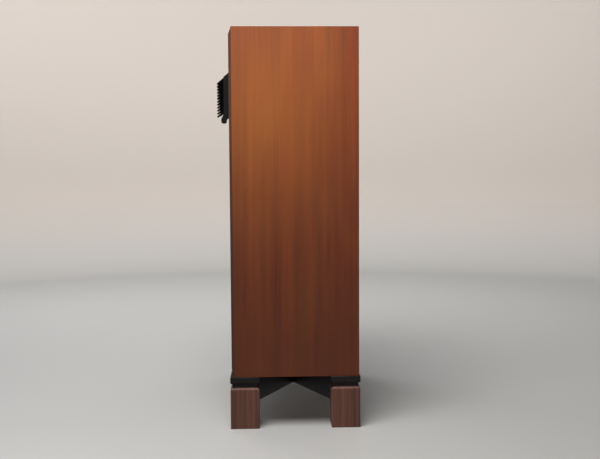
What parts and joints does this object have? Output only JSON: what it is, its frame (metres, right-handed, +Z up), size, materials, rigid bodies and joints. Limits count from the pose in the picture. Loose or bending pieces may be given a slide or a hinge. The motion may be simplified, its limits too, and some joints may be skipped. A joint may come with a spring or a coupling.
{
  "type": "studio monitor loudspeaker",
  "caption": "Floor-standing four-way studio monitor in a tall veneered box with a woofer, a midrange, a horn behind a slanted-plate lens and a slot tweeter, on a block-leg stand.",
  "frame": {"origin": "on the floor, under the middle of the bounding box", "axes": "+Z up, the front with its drivers faces -Y, +X to the right as seen from the front"},
  "size_m": [0.776, 0.509, 1.411],
  "materials": {
    "veneer": "oiled walnut veneer, grain upright",
    "back_board": "flat black painted board",
    "baffle_paint": "satin black painted board",
    "bare_wood": "unfinished board",
    "glass_wool": "soft glass wool",
    "black_tube": "matt black",
    "cast_frame": "black crackle paint on cast aluminium",
    "plated_steel": "zinc plated",
    "ferrite": "sintered, dull",
    "paper_cone": "pressed paper pulp, matt",
    "copper_coil": "varnished copper wire",
    "foam": "soft foam, matt",
    "treated_cloth": "resin-treated cloth",
    "black_gasket": "matt black",
    "black_sheet": "black anodised sheet",
    "painted_steel": "satin black paint",
    "aluminium_foil": "bare foil",
    "bare_aluminium": "brushed",
    "black_screws": "black oxide",
    "black_plastic": "moulded, satin",
    "red_plastic": "moulded, glossy",
    "brass_stud": "gold-coloured plating",
    "yellow_film": "wrapped film",
    "leg_wood": "dark red-brown stained hardwood",
    "black_wood": "satin black paint on wood"
  },
  "bodies": {
    "cabinet": {"side_panel_right": "veneer", "side_panel_left": "veneer", "top_panel": "veneer", "bottom_panel": "veneer", "back_panel": "back_board", "front_baffle": "baffle_paint", "panel_cleats": "bare_wood", "shelf_brace": "bare_wood", "damping_pads": "glass_wool", "midrange_chamber": "bare_wood", "port_tubes": "black_tube", "woofer_basket": "cast_frame", "woofer_top_plate": "plated_steel", "woofer_magnet": "ferrite", "woofer_yoke": "plated_steel", "woofer_surround": "foam", "woofer_spider": "treated_cloth", "woofer_gasket": "black_gasket", "midrange_basket": "cast_frame", "midrange_motor": "ferrite", "midrange_surround": "foam", "midrange_spider": "treated_cloth", "midrange_gasket": "black_gasket", "horn": "cast_frame", "lens_plates": "black_sheet", "lens_brackets": "black_sheet", "compression_driver_body": "painted_steel", "compression_driver_cover": "cast_frame", "compression_diaphragm": "aluminium_foil", "slot_tweeter_body": "cast_frame", "slot_tweeter_wedge": "bare_aluminium", "slot_tweeter_magnet": "painted_steel", "driver_screws": "black_screws", "control_plate": "bare_aluminium", "attenuators": "painted_steel", "terminal_cup": "black_plastic", "terminal_studs": "brass_stud", "crossover_board": "bare_wood", "crossover_coils": "copper_coil", "crossover_capacitors": "yellow_film", "leg_front_left": "leg_wood", "leg_front_right": "leg_wood", "leg_rear_left": "leg_wood", "leg_rear_right": "leg_wood", "leg_caps": "black_wood", "stand_brace_a": "black_wood", "stand_brace_b": "black_wood"},
    "woofer_moving": {"woofer_cone": "paper_cone", "woofer_dust_cap": "paper_cone", "woofer_voice_coil": "copper_coil"},
    "midrange_moving": {"midrange_cone": "paper_cone", "midrange_dust_cap": "paper_cone", "midrange_voice_coil": "copper_coil"},
    "midrange_knob": {"midrange_level_knob": "black_plastic"},
    "horn_knob": {"horn_level_knob": "black_plastic"},
    "tweeter_knob": {"tweeter_level_knob": "black_plastic"},
    "red_washer": {"red_terminal_washer": "brass_stud"},
    "red_nut": {"red_terminal_nut": "red_plastic"},
    "black_washer": {"black_terminal_washer": "brass_stud"},
    "black_nut": {"black_terminal_nut": "black_plastic"}
  },
  "joints": [
    {"name": "woofer_travel", "type": "slide", "parent": "cabinet", "child": "woofer_moving", "axis": [0, -1, 0], "range_m": [-0.009, 0.009], "stiffness_N_per_m": 2900, "deforming": ["woofer_surround", "woofer_spider"]},
    {"name": "midrange_travel", "type": "slide", "parent": "cabinet", "child": "midrange_moving", "axis": [0, -1, 0], "range_m": [-0.003, 0.003], "stiffness_N_per_m": 3300, "deforming": ["midrange_surround", "midrange_spider"]},
    {"name": "midrange_level", "type": "hinge", "parent": "cabinet", "child": "midrange_knob", "pos_m": [0.141, -0.1935, 1.037], "axis": [0, 1, 0], "range_deg": [-150, 150]},
    {"name": "horn_level", "type": "hinge", "parent": "cabinet", "child": "horn_knob", "pos_m": [0.205, -0.1935, 1.037], "axis": [0, 1, 0], "range_deg": [-150, 150]},
    {"name": "tweeter_level", "type": "hinge", "parent": "cabinet", "child": "tweeter_knob", "pos_m": [0.269, -0.1935, 1.037], "axis": [0, 1, 0], "range_deg": [-150, 150]},
    {"name": "red_nut_lift", "type": "slide", "parent": "cabinet", "child": "red_washer", "axis": [0, 1, 0], "range_m": [0, 0.005]},
    {"name": "red_nut_spin", "type": "hinge", "parent": "red_washer", "child": "red_nut", "pos_m": [-0.02, 0.2233, 0.515], "axis": [0, 1, 0], "range_deg": [0, 2250]},
    {"name": "black_nut_lift", "type": "slide", "parent": "cabinet", "child": "black_washer", "axis": [0, 1, 0], "range_m": [0, 0.005]},
    {"name": "black_nut_spin", "type": "hinge", "parent": "black_washer", "child": "black_nut", "pos_m": [0.02, 0.2233, 0.515], "axis": [0, 1, 0], "range_deg": [0, 2250]}
  ],
  "couplings": [
    {"joint": "red_nut_spin", "follows": "red_nut_lift", "rad_per_m": 7854},
    {"joint": "black_nut_spin", "follows": "black_nut_lift", "rad_per_m": 7854}
  ]
}
